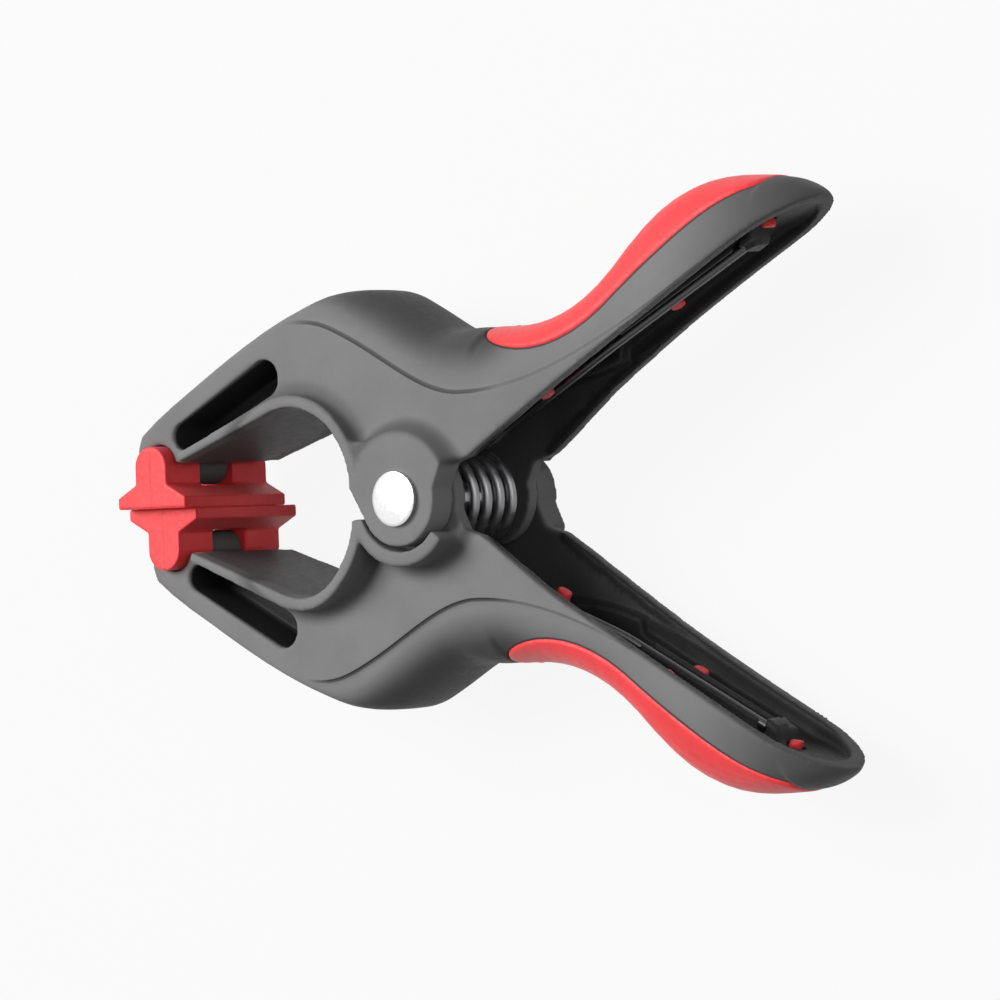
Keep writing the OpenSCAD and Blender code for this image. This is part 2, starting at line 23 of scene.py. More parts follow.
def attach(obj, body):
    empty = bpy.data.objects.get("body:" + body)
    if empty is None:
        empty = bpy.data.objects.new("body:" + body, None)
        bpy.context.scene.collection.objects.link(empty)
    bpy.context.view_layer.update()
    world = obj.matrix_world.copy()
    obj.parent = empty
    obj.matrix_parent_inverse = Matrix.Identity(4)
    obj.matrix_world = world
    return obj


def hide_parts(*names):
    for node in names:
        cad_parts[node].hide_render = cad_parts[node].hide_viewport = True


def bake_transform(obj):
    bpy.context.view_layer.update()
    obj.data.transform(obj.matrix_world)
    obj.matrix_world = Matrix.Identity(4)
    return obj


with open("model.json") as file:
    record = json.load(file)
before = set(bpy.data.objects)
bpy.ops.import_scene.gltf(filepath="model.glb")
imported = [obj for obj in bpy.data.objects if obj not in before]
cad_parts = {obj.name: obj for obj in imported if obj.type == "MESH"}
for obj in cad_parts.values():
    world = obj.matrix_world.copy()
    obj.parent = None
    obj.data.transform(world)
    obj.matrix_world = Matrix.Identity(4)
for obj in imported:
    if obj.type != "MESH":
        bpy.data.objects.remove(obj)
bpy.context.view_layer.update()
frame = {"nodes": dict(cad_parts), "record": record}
MM = 0.001
MERGE = 0.001 * MM
SHARP = math.radians(50)
FAR = 100 * MM
NOISE_SPAN = (0.3, 0.7)
MIX_COLOURS = (6, 7)
MIX_RESULT = 2
LOG = logging.getLogger("spring_clamp")

Colour = tuple[float, float, float]
Span = tuple[float, float]
Piece = bpy.types.Object
Socket = bpy.types.NodeSocket
Knots = tuple[tuple[float, float, float], ...]


# ---- the frame's joints ----


def joint_position(name: str) -> Vector:
    """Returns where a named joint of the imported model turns, in metres."""
    joints = frame["record"]["behaviour"]["joints"]
    return Vector(next(joint["pos_m"] for joint in joints if joint["name"] == name))


PIVOT = joint_position("arm_pivot")


class Side(Enum):
    """Which of the two arms a piece belongs to: the factor turns the upper arm's shape into it."""

    UPPER = 1.0
    LOWER = -1.0

    @property
    def word(self) -> str:
        """The side's name, as the nodes spell it."""
        return self.name.lower()

    @property
    def body(self) -> str:
        """The body that the side's arm rides on."""
        return f"{self.word}_half"

    @property
    def pad_body(self) -> str:
        """The body that the side's jaw pad rides on."""
        return f"{self.word}_pad"

    def place(self, along: float, up: float, across: float) -> Vector:
        """Turns a point of the arm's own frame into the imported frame.

        Args:
            along: Distance from the pivot towards the handle, in millimetres.
            up: Height over the pivot, towards the arm's own back, in millimetres.
            across: Distance from the arm's middle plane, in millimetres.

        Returns:
            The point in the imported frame, in metres.
        """
        shifted = across + ArmShape.shift
        return PIVOT + MM * Vector((along, self.value * up, self.value * shifted))

    def unplace(self, point: Vector) -> Vector:
        """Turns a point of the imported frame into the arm's own frame.

        Args:
            point: A point in metres.

        Returns:
            Along, up and across, in millimetres.
        """
        local = (point - PIVOT) / MM
        return Vector((local.x, self.value * local.y, self.value * local.z - ArmShape.shift))


# ---- shapes in numbers ----


def smoothstep(low: float, high: float, value: float) -> float:
    """Returns 0 below low, 1 above high and a smooth step between them."""
    t = min(1.0, max(0.0, (value - low) / (high - low)))
    return t * t * (3 - 2 * t)


def fade(low: float, high: float, value: float) -> float:
    """Returns 1 below low, 0 above high and a smooth step between them."""
    return 1.0 - smoothstep(low, high, value)


def through_knots(knots: Knots, at: float) -> float:
    """Reads a smooth curve, which stays level with its end knots beyond them.

    Args:
        knots: Place, value and slope of each knot.
        at: The place to read.

    Returns:
        The curve's value there.
    """
    at = min(max(at, knots[0][0]), knots[-1][0])
    first, second = next(pair for pair in zip(knots, knots[1:]) if at <= pair[1][0])
    step = second[0] - first[0]
    t = (at - first[0]) / step
    return ((2 * t**3 - 3 * t**2 + 1) * first[1] + (t**3 - 2 * t**2 + t) * step * first[2]
            + (3 * t**2 - 2 * t**3) * second[1] + (t**3 - t**2) * step * second[2])


# ---- modelling by hand ----


def deselect_all() -> None:
    """Leaves nothing selected."""
    for obj in bpy.context.selected_objects:
        obj.select_set(False)


def make_active(obj: Piece) -> None:
    """Selects one object alone and makes it the active one.

    Args:
        obj: The object.
    """
    deselect_all()
    obj.select_set(True)
    bpy.context.view_layer.objects.active = obj


@contextmanager
def editing(obj: Piece) -> Iterator[None]:
    """Holds an object in edit mode with everything selected.

    Args:
        obj: The mesh object.

    Returns:
        Nothing: the edit goes inside the with block.
    """
    make_active(obj)
    bpy.ops.object.mode_set(mode="EDIT")
    bpy.ops.mesh.select_all(action="SELECT")
    yield
    bpy.ops.object.mode_set(mode="OBJECT")


def copy_of_node(node: str, name: str) -> Piece:
    """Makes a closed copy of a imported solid.

    Args:
        node: The solid's name.
        name: The new piece's name.

    Returns:
        The copy, with its loose triangles merged.
    """
    piece = bpy.data.objects.new(name, frame["nodes"][node].data.copy())
    bpy.context.collection.objects.link(piece)
    piece.data.materials.clear()
    with editing(piece):
        bpy.ops.mesh.remove_doubles(threshold=MERGE)
    return piece


def apply_modifier(obj: Piece, kind: str, **settings: object) -> None:
    """Adds a modifier with its settings and applies it.

    Args:
        obj: The piece.
        kind: The modifier's type, as Blender spells it.
        settings: The modifier's properties by name.
    """
    make_active(obj)
    modifier = obj.modifiers.new(kind.title(), kind)
    for key, value in settings.items():
        setattr(modifier, key, value)
    bpy.ops.object.modifier_apply(modifier=modifier.name)


def triangle_count(obj: Piece) -> int:
    """Returns how many triangles a mesh has once its faces are split."""
    return sum(len(face.vertices) - 2 for face in obj.data.polygons)


def weigh(obj: Piece, name: str, rule: Callable[[bpy.types.MeshVertex], float]) -> None:
    """Fills a vertex group by a rule.

    Args:
        obj: The piece.
        name: The group's name.
        rule: Gives each vertex its weight from 0 to 1.
    """
    group = obj.vertex_groups.new(name=name)
    for vertex in obj.data.vertices:
        weight = rule(vertex)
        if weight > 0.0:
            group.add([vertex.index], weight, "REPLACE")


def resurface(obj: Piece, grain_mm: float, passes: int) -> None:
    """Gives a piece an even skin with slightly rounded edges.

    Args:
        obj: The piece, a closed mesh or several that overlap.
        grain_mm: The size of a face of the new skin.
        passes: How often the skin is smoothed.
    """
    apply_modifier(obj, "REMESH", mode="VOXEL", voxel_size=grain_mm * MM, use_smooth_shade=True)
    smooth(obj, passes)


def smooth(obj: Piece, passes: int, group: str = "") -> None:
    """Smooths a piece, or only the part of it that a vertex group picks."""
    apply_modifier(obj, "SMOOTH", factor=0.5, iterations=passes, vertex_group=group)


def thin(obj: Piece, most_triangles: int) -> None:
    """Thins a mesh to a number of triangles, where it has more.

    Args:
        obj: The piece.
        most_triangles: The number that is left.
    """
    count = triangle_count(obj)
    if count > most_triangles:
        apply_modifier(obj, "DECIMATE", ratio=most_triangles / count)
    make_active(obj)
    bpy.ops.object.shade_smooth()


def add_box(name: str, low: Vector, high: Vector, edge_mm: float) -> Piece:
    """Adds a box with bevelled edges.

    Args:
        name: The new piece's name.
        low: One corner, in metres.
        high: The opposite corner, in metres.
        edge_mm: The width of the bevel.

    Returns:
        The box, with its place in its mesh.
    """
    deselect_all()
    bpy.ops.mesh.primitive_cube_add(size=1.0, location=(low + high) / 2)
    box = bpy.context.active_object
    box.name = name
    box.scale = [abs(high[i] - low[i]) for i in range(3)]
    bpy.ops.object.transform_apply(location=True, rotation=True, scale=True)
    with editing(box):
        bpy.ops.mesh.bevel(offset=edge_mm * MM, segments=2)
    return box


def join_into(target: Piece, parts: list[Piece]) -> None:
    """Joins parts into a target object.

    Args:
        target: The piece that takes the parts in.
        parts: The parts, which are gone afterwards.
    """
    deselect_all()
    for part in parts:
        part.select_set(True)
    target.select_set(True)
    bpy.context.view_layer.objects.active = target
    bpy.ops.object.join()


def tube_along(name: str, points: list[Vector], radius: float) -> Piece:
    """Sweeps a round wire along points.

    Args:
        name: The new piece's name.
        points: The wire's middle line, in metres.
        radius: The wire's radius, in metres.

    Returns:
        The wire as a closed mesh.
    """
    deselect_all()
    bpy.ops.curve.primitive_nurbs_path_add()
    wire = bpy.context.active_object
    wire.name = name
    curve = wire.data
    curve.splines.clear()
    spline = curve.splines.new("POLY")
    spline.points.add(len(points) - 1)
    for knot, point in zip(spline.points, points):
        knot.co = (*point, 1.0)
    curve.dimensions = "3D"
    curve.twist_mode = "MINIMUM"
    curve.bevel_depth = radius
    curve.bevel_resolution = 6
    curve.use_fill_caps = True
    bpy.ops.object.convert(target="MESH")
    wire = bpy.context.active_object
    with editing(wire):
        bpy.ops.mesh.remove_doubles(threshold=MERGE)
        bpy.ops.mesh.normals_make_consistent(inside=False)
    make_active(wire)
    bpy.ops.object.shade_smooth_by_angle(angle=SHARP)
    return wire


def reshape(obj: Piece, rule: Callable[[Vector, Vector], Vector | None]) -> None:
    """Moves vertices by a rule, which reads the skin as it was before any of them moved.

    Args:
        obj: The piece.
        rule: Gives a vertex's new place from its place and its normal, or None to leave it.
    """
    moves = [rule(vertex.co, vertex.normal) for vertex in obj.data.vertices]
    for vertex, place in zip(obj.data.vertices, moves):
        if place is not None:
            vertex.co = place


def mark(obj: Piece, name: str, rule: Callable[[Vector], float]) -> None:
    """Gives each vertex a number, which the finish reads by name.

    Args:
        obj: The piece, re-surfaced.
        name: The number's name.
        rule: Gives the number at a point.
    """
    marks = obj.data.attributes.new(name, "FLOAT", "POINT")
    marks.data.foreach_set("value", [rule(vertex.co) for vertex in obj.data.vertices])


def skin_of(mesh: bpy.types.Mesh) -> BVHTree:
    """Returns a mesh's faces in a tree, in which a ray or the nearest point is looked up."""
    return BVHTree.FromPolygons([vertex.co.copy() for vertex in mesh.vertices],
                                [tuple(face.vertices) for face in mesh.polygons])


# ---- finishes ----


def shade(colour: Colour, share: float) -> Colour:
    """Returns a colour times a share."""
    return tuple(share * part for part in colour)


@dataclass(frozen=True)
class NodeBench:
    """The node tree of a material or a world, with short ways to add nodes to it."""

    owner: bpy.types.Material | bpy.types.World

    @classmethod
    def start(cls, owner: bpy.types.Material | bpy.types.World) -> "NodeBench":
        """Turns on a new material's or world's nodes and opens its tree."""
        owner.use_nodes = True
        return cls(owner)

    @property
    def shader(self) -> bpy.types.Node:
        """The material's Principled shader."""
        return self.owner.node_tree.nodes["Principled BSDF"]

    def add(self, kind: str, **settings: object) -> bpy.types.Node:
        """Adds a node and sets its properties.

        Args:
            kind: The node's type.
            settings: The node's properties by name.

        Returns:
            The new node.
        """
        node = self.owner.node_tree.nodes.new(kind)
        for key, value in settings.items():
            setattr(node, key, value)
        return node

    def link(self, source: Socket, target: Socket) -> None:
        """Joins two sockets."""
        self.owner.node_tree.links.new(source, target)

    def fill(self, target: Socket, value: Socket | float | tuple) -> None:
        """Links a socket to a target, or sets the target to a plain value.

        Args:
            target: The input.
            value: A socket or a plain value.
        """
        if isinstance(value, Socket):
            self.link(value, target)
        else:
            target.default_value = value

    def set(self, **values: Socket | float | tuple) -> None:
        """Sets or links inputs of the shader by name, with _ for a space."""
        for key, value in values.items():
            self.fill(self.shader.inputs[key.replace("_", " ")], value)

    def position(self) -> Socket:
        """Returns the Object coordinates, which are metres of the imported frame."""
        return self.add("ShaderNodeTexCoord").outputs["Object"]

    def noise(self, scale: float, detail: float = 3.0) -> Socket:
        """Adds even noise from 0 to 1.

        Args:
            scale: The number of grains in a metre.
            detail: How many finer layers lie on it.

        Returns:
            The noise.
        """
        node = self.add("ShaderNodeTexNoise")
        node.inputs["Scale"].default_value = scale
        node.inputs["Detail"].default_value = detail
        self.link(self.position(), node.inputs["Vector"])
        return node.outputs["Fac"]

    def math(self, operation: str, *values: Socket | float) -> Socket:
        """Calculates with sockets and numbers.

        Args:
            operation: The calculation's name, as Blender spells it.
            values: What it is made of, in order.

        Returns:
            The result.
        """
        node = self.add("ShaderNodeMath", operation=operation)
        for slot, value in zip(node.inputs, values):
            self.fill(slot, value)
        return node.outputs[0]

    def remap(self, value: Socket, low: float, high: float,
              to_low: float, to_high: float) -> Socket:
        """Moves a value smoothly from one range to another.

        Args:
            value: What is read.
            low: Where the range begins.
            high: Where it ends.
            to_low: The result below low.
            to_high: The result above high.

        Returns:
            The moved value.
        """
        node = self.add("ShaderNodeMapRange", interpolation_type="SMOOTHSTEP")
        self.link(value, node.inputs["Value"])
        for key, number in (("From Min", low), ("From Max", high),
                            ("To Min", to_low), ("To Max", to_high)):
            node.inputs[key].default_value = number
        return node.outputs["Result"]

    def spread(self, noise: Socket, low: float, high: float) -> Socket:
        """Returns noise, which keeps near its middle, spread over a whole range."""
        return self.remap(noise, *NOISE_SPAN, low, high)

    def mix(self, share: Socket, first: Socket | Colour, second: Socket | Colour) -> Socket:
        """Mixes a colour from two.

        Args:
            share: How much of the second colour there is.
            first: The colour at 0.
            second: The colour at 1.

        Returns:
            The mixed colour.
        """
        node = self.add("ShaderNodeMix", data_type="RGBA")
        self.link(share, node.inputs["Factor"])
        for key, value in zip(MIX_COLOURS, (first, second)):
            self.fill(node.inputs[key], value if isinstance(value, Socket) else (*value, 1.0))
        return node.outputs[MIX_RESULT]

    def attribute(self, name: str) -> Socket:
        """Returns a number that the mesh holds for each vertex."""
        return self.add("ShaderNodeAttribute", attribute_name=name).outputs["Fac"]

    def bump(self, height: Socket, depth_mm: float, before: Socket | None = None) -> Socket:
        """Pushes the normal about by a height.

        Args:
            height: The height, from 0 to 1.
            depth_mm: How deep a height of 1 is.
            before: The normal it is laid on, if there is one.

        Returns:
            The normal.
        """
        node = self.add("ShaderNodeBump")
        node.inputs["Strength"].default_value = 1.0
        node.inputs["Distance"].default_value = depth_mm * MM
        self.link(height, node.inputs["Height"])
        if before is not None:
            self.link(before, node.inputs["Normal"])
        return node.outputs["Normal"]

    def off_pivot(self) -> Socket:
        """Measures the distance from the pivot's axis, in millimetres.

        Returns:
            The distance.
        """
        apart = self.add("ShaderNodeSeparateXYZ")
        self.link(self.position(), apart.inputs[0])
        sides = [self.math("SUBTRACT", apart.outputs[i], PIVOT[i]) for i in range(2)]
        square = self.math("ADD", *(self.math("MULTIPLY", side, side) for side in sides))
        return self.math("DIVIDE", self.math("SQRT", square), MM)

    def in_view(self) -> Socket:
        """Picks what the camera sees, also in a mirror or through something.

        Returns:
            The share, 0 or 1.
        """
        path = self.add("ShaderNodeLightPath").outputs
        second_hand = self.math("MAXIMUM", path["Is Glossy Ray"], path["Is Transmission Ray"])
        return self.math("MAXIMUM", path["Is Camera Ray"], second_hand)


def new_material(name: str) -> NodeBench:
    """Opens a new material that holds one Principled shader."""
    return NodeBench.start(bpy.data.materials.new(name))


@dataclass(frozen=True)
class NylonFinish:
    """Glass-filled nylon: a fine spark-eroded grain outside, and glossier walls inside, whose
    near-black colour is painted shade.

    Shares are of the colour that is mixed in, and the darks are factors on the grained colour.
    """

    grained: Colour = (0.212, 0.212, 0.214)
    # Near-black colour of painted shade, on the inside walls and in the hollows at the feet.
    smooth: Colour = (0.030, 0.030, 0.031)
    # Colour of painted shade over the knuckle's top and at the handle's nose.
    dome_and_nose_shade: Colour = (0.080, 0.080, 0.082)
    cloud_scale: float = 70.0
    cloud_depth: float = 0.05
    foot_shade_share: float = 0.5
    crease_mm: Span = (0.084, 0.42)
    crease_depth_mm: float = 0.3
    # Painted shade along the crease: how much, and how dark.
    crease_shade_share: float = 0.7
    crease_shade: float = 0.2
    seam_mm: Span = (0.30, 0.60)
    seam_share: float = 0.8
    seam_dark: float = 0.12
    roughness: Span = (0.52, 0.62)
    roughness_scale: float = 900.0
    inside_gloss: float = 0.15
    grain_scale: float = 3800.0
    grain_detail: float = 2.0
    grain_depth_mm: float = 0.035

    def material(self) -> bpy.types.Material:
        """Mixes the nylon.

        Returns:
            The arms' material.
        """
        bench = new_material("arm_nylon")
        inside = bench.attribute("inside")
        line = self.crease_line(bench)
        rough = bench.spread(bench.noise(self.roughness_scale), *self.roughness)
        grains = bench.noise(self.grain_scale, self.grain_detail)
        grain = bench.bump(grains, self.grain_depth_mm)
        # The inside walls get painted shade in their colour and a glossier finish in their
        # roughness.
        bench.set(Base_Color=bench.mix(inside, self.outside(bench, line), self.smooth),
                  Roughness=bench.math("SUBTRACT", rough,
                                       bench.math("MULTIPLY", inside, self.inside_gloss)),
                  Normal=bench.bump(bench.math("SUBTRACT", 1.0, line), self.crease_depth_mm, grain),
                  Specular_IOR_Level=0.08)
        return bench.owner

    def outside(self, bench: NodeBench, line: Socket) -> Socket:
        """Returns the outer skin's colour.

        Args:
            bench: The material's bench.
            line: 1 on the crease line.

        Returns:
            The grained colour with painted shade in the hollows, on the knuckle, at the nose and on
            the crease, and darker at the grip's joint.
        """
        cloudy = bench.spread(bench.noise(self.cloud_scale), 0.0, 1.0)
        skin = bench.mix(cloudy, shade(self.grained, 1 - self.cloud_depth),
                         shade(self.grained, 1 + self.cloud_depth))
        # Painted shade in the hollow at the foot of the throat's raised rim and of the boss.
        foot = bench.math("MULTIPLY", bench.attribute("foot_shade"), self.foot_shade_share)
        skin = bench.mix(foot, skin, self.smooth)
        # Painted shade over the knuckle's top and at the handle's nose.
        skin = bench.mix(bench.attribute("dome_shade"), skin, self.dome_and_nose_shade)
        # Painted shade along the crease, besides its bump.
        skin = bench.mix(bench.math("MULTIPLY", line, self.crease_shade_share), skin,
                         shade(self.grained, self.crease_shade))
        seam = bench.remap(bench.attribute("grip_gap"), *self.seam_mm, self.seam_share, 0.0)
        return bench.mix(seam, skin, shade(self.grained, self.seam_dark))

    def crease_line(self, bench: NodeBench) -> Socket:
        """Returns 1 on the crease, where the height over it passes zero.

        Args:
            bench: The material's bench.

        Returns:
            The line's strength.
        """
        off = bench.math("ABSOLUTE", bench.attribute("crease_gap"))
        line = bench.remap(off, *self.crease_mm, 1.0, 0.0)
        return bench.math("MULTIPLY", line, bench.attribute("crease_strength"))


@dataclass(frozen=True)
class SoftRedFinish:
    """Soft moulded rubber, matt, with a faint bloom."""

    colour: Colour = (0.90, 0.034, 0.040)
    deep_share: float = 0.92
    pale_shares: Colour = (1.05, 1.25, 1.25)
    cloud_scale: float = 90.0
    parting_share: float = 0.45
    parting_dark: float = 0.45
    roughness: Span = (0.46, 0.58)
    roughness_scale: float = 1200.0
    grain_scale: float = 5200.0
    grain_detail: float = 2.0
    grain_depth_mm: float = 0.02

    def material(self) -> bpy.types.Material:
        """Mixes the red rubber.

        Returns:
            The material of the grips and pads.
        """
        bench = new_material("soft_red")
        cloudy = bench.spread(bench.noise(self.cloud_scale), 0.0, 1.0)
        pale = tuple(share * part for share, part in zip(self.pale_shares, self.colour))
        skin = bench.mix(cloudy, shade(self.colour, self.deep_share), pale)
        parting = bench.math("MULTIPLY", bench.attribute("parting"), self.parting_share)
        grains = bench.noise(self.grain_scale, self.grain_detail)
        bench.set(Base_Color=bench.mix(parting, skin, shade(self.colour, self.parting_dark)),
                  Roughness=bench.spread(bench.noise(self.roughness_scale), *self.roughness),
                  Normal=bench.bump(grains, self.grain_depth_mm),
                  Specular_IOR_Level=0.5, Sheen_Weight=0.10, Sheen_Roughness=0.5)
        return bench.owner


@dataclass(frozen=True)
class PinSteelFinish:
    """Bright plated steel with fine turning marks and a ring of painted shade round the pin's head.
    """

    colour: Colour = (0.88, 0.88, 0.89)
    mark_share: float = 0.93
    mark_scale: float = 1800.0
    mark_detail: float = 4.0
    ring_mm: tuple[Span, Span] = ((4.3, 5.0), (5.5, 6.5))
    ring_shade: float = 0.66
    roughness: Span = (0.16, 0.26)
    grain_scale: float = 2600.0
    grain_depth_mm: float = 0.004

    def material(self) -> bpy.types.Material:
        """Mixes the plated steel.

        Returns:
            The material of the pins and the cap.
        """
        bench = new_material("pin_steel")
        marks = bench.noise(self.mark_scale, self.mark_detail)
        bright = bench.mix(marks, shade(self.colour, self.mark_share), self.colour)
        radius = bench.off_pivot()
        # Painted shade at the head's rounded edge.
        ring = bench.math("MULTIPLY", bench.remap(radius, *self.ring_mm[0], 0.0, 1.0),
                          bench.remap(radius, *self.ring_mm[1], 1.0, 0.0))
        bench.set(Base_Color=bench.mix(ring, bright, shade(self.colour, self.ring_shade)),
                  Roughness=bench.spread(marks, *self.roughness),
                  Normal=bench.bump(bench.noise(self.grain_scale), self.grain_depth_mm),
                  Metallic=1.0)
        return bench.owner


@dataclass(frozen=True)
class SpringSteelFinish:
    """Dark oiled spring steel, drawn smooth, with painted shade on the legs, which lie in the arms'
    channels.
    """

    colour: Colour = (0.27, 0.27, 0.28)
    drawn_shares: Span = (0.7, 1.1)
    drawn_scale: float = 700.0
    drawn_detail: float = 4.0
    leg_shade_share: float = 0.30
    leg_from_mm: Span = (11.0, 16.0)
    roughness: Span = (0.30, 0.44)
    grain_scale: float = 3000.0
    grain_depth_mm: float = 0.01

    def material(self) -> bpy.types.Material:
        """Mixes the oiled steel.

        Returns:
            The spring's material.
        """
        bench = new_material("spring_steel")
        streaks = bench.noise(self.drawn_scale, self.drawn_detail)
        drawn = bench.mix(streaks, *(shade(self.colour, share) for share in self.drawn_shares))
        # Painted shade on the legs, out past the coil.
        leg_shade = bench.remap(bench.off_pivot(), *self.leg_from_mm, 0.0, 1.0)
        bench.set(Base_Color=bench.mix(leg_shade, drawn, shade(self.colour, self.leg_shade_share)),
                  Roughness=bench.spread(streaks, *self.roughness),
                  Normal=bench.bump(bench.noise(self.grain_scale), self.grain_depth_mm),
                  Metallic=0.85)
        return bench.owner


@dataclass(frozen=True)
class Finishes:
    """The clamp's four materials."""

    nylon: bpy.types.Material
    soft_red: bpy.types.Material
    pin_steel: bpy.types.Material
    spring_steel: bpy.types.Material

    @classmethod
    def mixed(cls) -> "Finishes":
        """Makes all four."""
        return cls(NylonFinish().material(), SoftRedFinish().material(),
                   PinSteelFinish().material(), SpringSteelFinish().material())


def dress(obj: Piece, material: bpy.types.Material) -> None:
    """Gives a piece one material.

    Args:
        obj: The piece.
        material: Its material.
    """
    obj.data.materials.clear()
    obj.data.materials.append(material)


# ---- arms ----


@dataclass(frozen=True)
class ArmShape:
    """Sizes of one arm that its finish and its ribs follow, in millimetres.

    Along is the distance from the pivot towards the handle, up the height over the pivot towards
    the arm's own back, and across the distance from the arm's middle plane.
    """

    shift: ClassVar[float] = 1.5
    wall: float = 2.8
    handle_reach: float = 86.5
    jaw_reach: float = 70.0
    jaw_half: float = 11.7
    web_half: float = 13.3
    handle_half: float = 11.3
    boss_rise: float = 3.1
    boss_start: float = -15.0
    rim_rise: float = 2.2
    handle_angle: float = math.radians(30.1)
    rim_start: float = 2.3
    knuckle_h: float = 39.4
    channel_depth: float = 4.4
    channel_fall: float = 1.6
    leg_bend: float = 38.0
    leg_reach: float = 68.8
    throat: Span = (-27.2, 2.1)
    throat_r: float = 15.7
    rim_w: float = 2.4
    rim_bow: float = 1.2
    rim_tilt: float = 1.6
    tilt_from: float = 4.0
    tilt_ramp: float = 14.0
    ear_crown_r: float = 12.3
    jaw_corner: Span = (-57.0, 8.65)
    jaw_slope: float = math.radians(18.6)
    tongue_half: float = 4.3
    tongue_top: float = 12.4
    nose_len: float = 14.0
    hinge_along: float = -64.4
    grip_start: float = 13.5
    grip_end: float = 77.8
    grip_edge: float = 0.7
    crease_drop: float = 0.55
    crease_reach: Span = (0.5, 7.0)
    crease_start: Span = (-31.0, -22.0)
    crease_end: Span = (14.0, 28.0)
    handle_crease: float = 0.38
    handle_crease_end: Span = (58.0, 74.0)
    rib_start: float = 41.0
    rib_end: float = 67.0
    rib_across: float = 2.1
    rib_width: float = 1.1
    rib_height: float = 1.9
    rib_root: float = 0.6
    rib_edge: float = 0.25

    def rim(self, along: float) -> float:
        """Height of the handle's rim over the pivot's axis."""
        return math.tan(self.handle_angle) * (along - self.rim_start)

    def rim_height(self, along: float, across: float) -> float:
        """Height of the handle's rim, which bows and is cut deeper beside the inner ear.

        Args:
            along: Distance from the pivot towards the handle.
            across: Distance from the arm's middle plane.

        Returns:
            The height over the pivot.
        """
        share = (along - self.ear_crown_r) / (self.handle_reach - self.ear_crown_r)
        past = max(0.0, along - self.ear_crown_r - self.tilt_from)
        tilt = self.rim_tilt * min(1.0, past / self.tilt_ramp)
        lean = (self.web_half - across) / (2 * self.web_half)
        return self.rim(along) + 4 * self.rim_bow * share * (1 - share) + tilt * lean

    def floor(self, along: float) -> float:
        """Height of the channel's floor, which falls towards the bend of the spring's leg."""
        fall = self.channel_fall * (self.leg_reach - along) / (self.leg_reach - self.leg_bend)
        return self.rim(along) + (self.channel_depth + fall) / math.cos(self.handle_angle)

    def half_width(self, along: float) -> float:
        """Half the arm's width, up to the handle's nose.

        Args:
            along: Distance from the pivot towards the handle.

        Returns:
            The distance from the middle plane to a flat side.
        """
        throat_half = (self.jaw_half + self.web_half) / 2
        knots = ((-self.jaw_reach, self.jaw_half, 0.0), (self.throat[0], throat_half, 0.03),
                 (-15.0, self.web_half, 0.0), (12.0, self.web_half, 0.0),
                 (52.0, self.handle_half, 0.0))
        return through_knots(knots, along)

    def rise(self, along: float, across: float) -> float:
        """How far a point stands out from the arm's flat side."""
        return abs(across) - self.half_width(along)

    def room(self, along: float, across: float) -> float:
        """Distance from a point between the walls to their inner face, round in the nose.

        Args:
            along: Distance from the pivot towards the handle.
            across: Distance from the arm's middle plane.

        Returns:
            The distance, negative inside a wall.
        """
        past = along - (self.handle_reach - self.nose_len)
        if past < 0.0:
            return self.half_width(along) - self.wall - abs(across)
        inner = self.handle_half - self.wall
        return inner * (1.0 - math.hypot(past / (self.nose_len - self.wall), across / inner))

    def off_throat(self, along: float, up: float) -> float:
        """Distance from the throat's round wall."""
        return math.hypot(along - self.throat[0], up - self.throat[1]) - self.throat_r

    def off_foot(self, along: float, up: float) -> float:
        """Distance from the foot of the throat's raised rim or of the boss, whichever is nearer."""
        off_boss = math.hypot(along, up) - self.ear_crown_r
        return min(self.off_throat(along, up) - self.rim_w, off_boss)

    def crease(self, along: float) -> float:
        """Height at which the flat side turns into the rounded knuckle.

        Args:
            along: Distance from the pivot towards the handle.

        Returns:
            The height over the pivot.
        """
        knots = ((-34.0, self.knuckle_h - 7.2, 0.4), (-22.7, self.knuckle_h - 6.0, -0.15),
                 (-11.3, self.knuckle_h - 10.3, -0.5), (12.8, self.rim(12.8) + 12.8, -0.02),
                 (35.0, self.rim(35.0) + 4.1, 0.38), (65.5, self.rim(65.5) + 1.2, 0.56),
                 (86.5, self.rim(86.5) - 1.0, 0.5))
        return through_knots(knots, along)

    def crease_strength(self, along: float) -> float:
        """How sharp the crease is: 1 over the knuckle, fading along the handle and the jaw.

        Args:
            along: Distance from the pivot towards the handle.

        Returns:
            The strength from 0 to 1.
        """
        handle = self.handle_crease * fade(*self.handle_crease_end, along)
        return smoothstep(*self.crease_start, along) * max(fade(*self.crease_end, along), handle)


